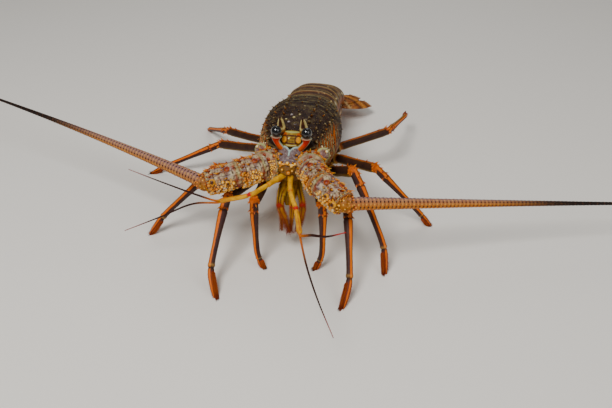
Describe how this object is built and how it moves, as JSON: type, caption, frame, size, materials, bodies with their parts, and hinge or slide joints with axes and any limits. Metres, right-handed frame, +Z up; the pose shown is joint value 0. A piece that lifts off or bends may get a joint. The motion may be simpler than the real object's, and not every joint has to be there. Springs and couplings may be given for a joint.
{
  "type": "spiny lobster",
  "caption": "Life-size spiny lobster standing on its walking legs, with thorny shell, horns over the eyes, long whip-like feelers spread sideways and an arched tail with a fan.",
  "frame": {"origin": "on the floor, under the middle of the whole animal's box, feelers included", "axes": "+Z up; the head looks along -Y; +X is the animal's left"},
  "size_m": [0.8382, 0.4318, 0.118],
  "materials": {
    "shell": "semi-matt, thorny shell",
    "fan": "semi-matt, thin and leathery",
    "feeler_stalk": "semi-matt, knobbly shell",
    "whip": "semi-matt, ringed shell",
    "yellow": "semi-matt shell",
    "leg": "semi-matt shell",
    "breast": "semi-matt shell",
    "eye": "wet gloss"
  },
  "bodies": {
    "root": {"carapace": "shell", "head_plate": "feeler_stalk", "eye_left": "eye", "eye_right": "eye", "breast_plate": "breast", "feeler_left_stalk_1": "feeler_stalk", "feeler_left_stalk_2": "feeler_stalk", "feeler_left_stalk_3": "feeler_stalk", "feeler_left_whip_1": "whip", "feeler_left_whip_2": "whip", "feeler_left_whip_3": "whip", "feeler_right_stalk_1": "feeler_stalk", "feeler_right_stalk_2": "feeler_stalk", "feeler_right_stalk_3": "feeler_stalk", "feeler_right_whip_1": "whip", "feeler_right_whip_2": "whip", "feeler_right_whip_3": "whip", "short_feeler_left_stalk": "yellow", "short_feeler_left_outer": "yellow", "short_feeler_left_inner": "yellow", "short_feeler_right_stalk": "yellow", "short_feeler_right_outer": "yellow", "short_feeler_right_inner": "yellow", "mouth_leg_left": "yellow", "mouth_leg_right": "yellow", "leg_left_1_upper": "leg", "leg_left_1_lower": "leg", "leg_left_2_upper": "leg", "leg_left_2_lower": "leg", "leg_left_3_upper": "leg", "leg_left_3_lower": "leg", "leg_left_4_upper": "leg", "leg_left_4_lower": "leg", "leg_left_5_upper": "leg", "leg_left_5_lower": "leg", "leg_right_1_upper": "leg", "leg_right_1_lower": "leg", "leg_right_2_upper": "leg", "leg_right_2_lower": "leg", "leg_right_3_upper": "leg", "leg_right_3_lower": "leg", "leg_right_4_upper": "leg", "leg_right_4_lower": "leg", "leg_right_5_upper": "leg", "leg_right_5_lower": "leg", "tail_ring_1": "shell", "tail_ring_2": "shell", "tail_ring_3": "shell", "tail_ring_4": "shell", "tail_ring_5": "shell", "tail_ring_6": "shell", "telson": "fan", "fan_inner_left": "fan", "fan_inner_right": "fan", "fan_outer_left": "fan", "fan_outer_right": "fan"}
  },
  "joints": []
}
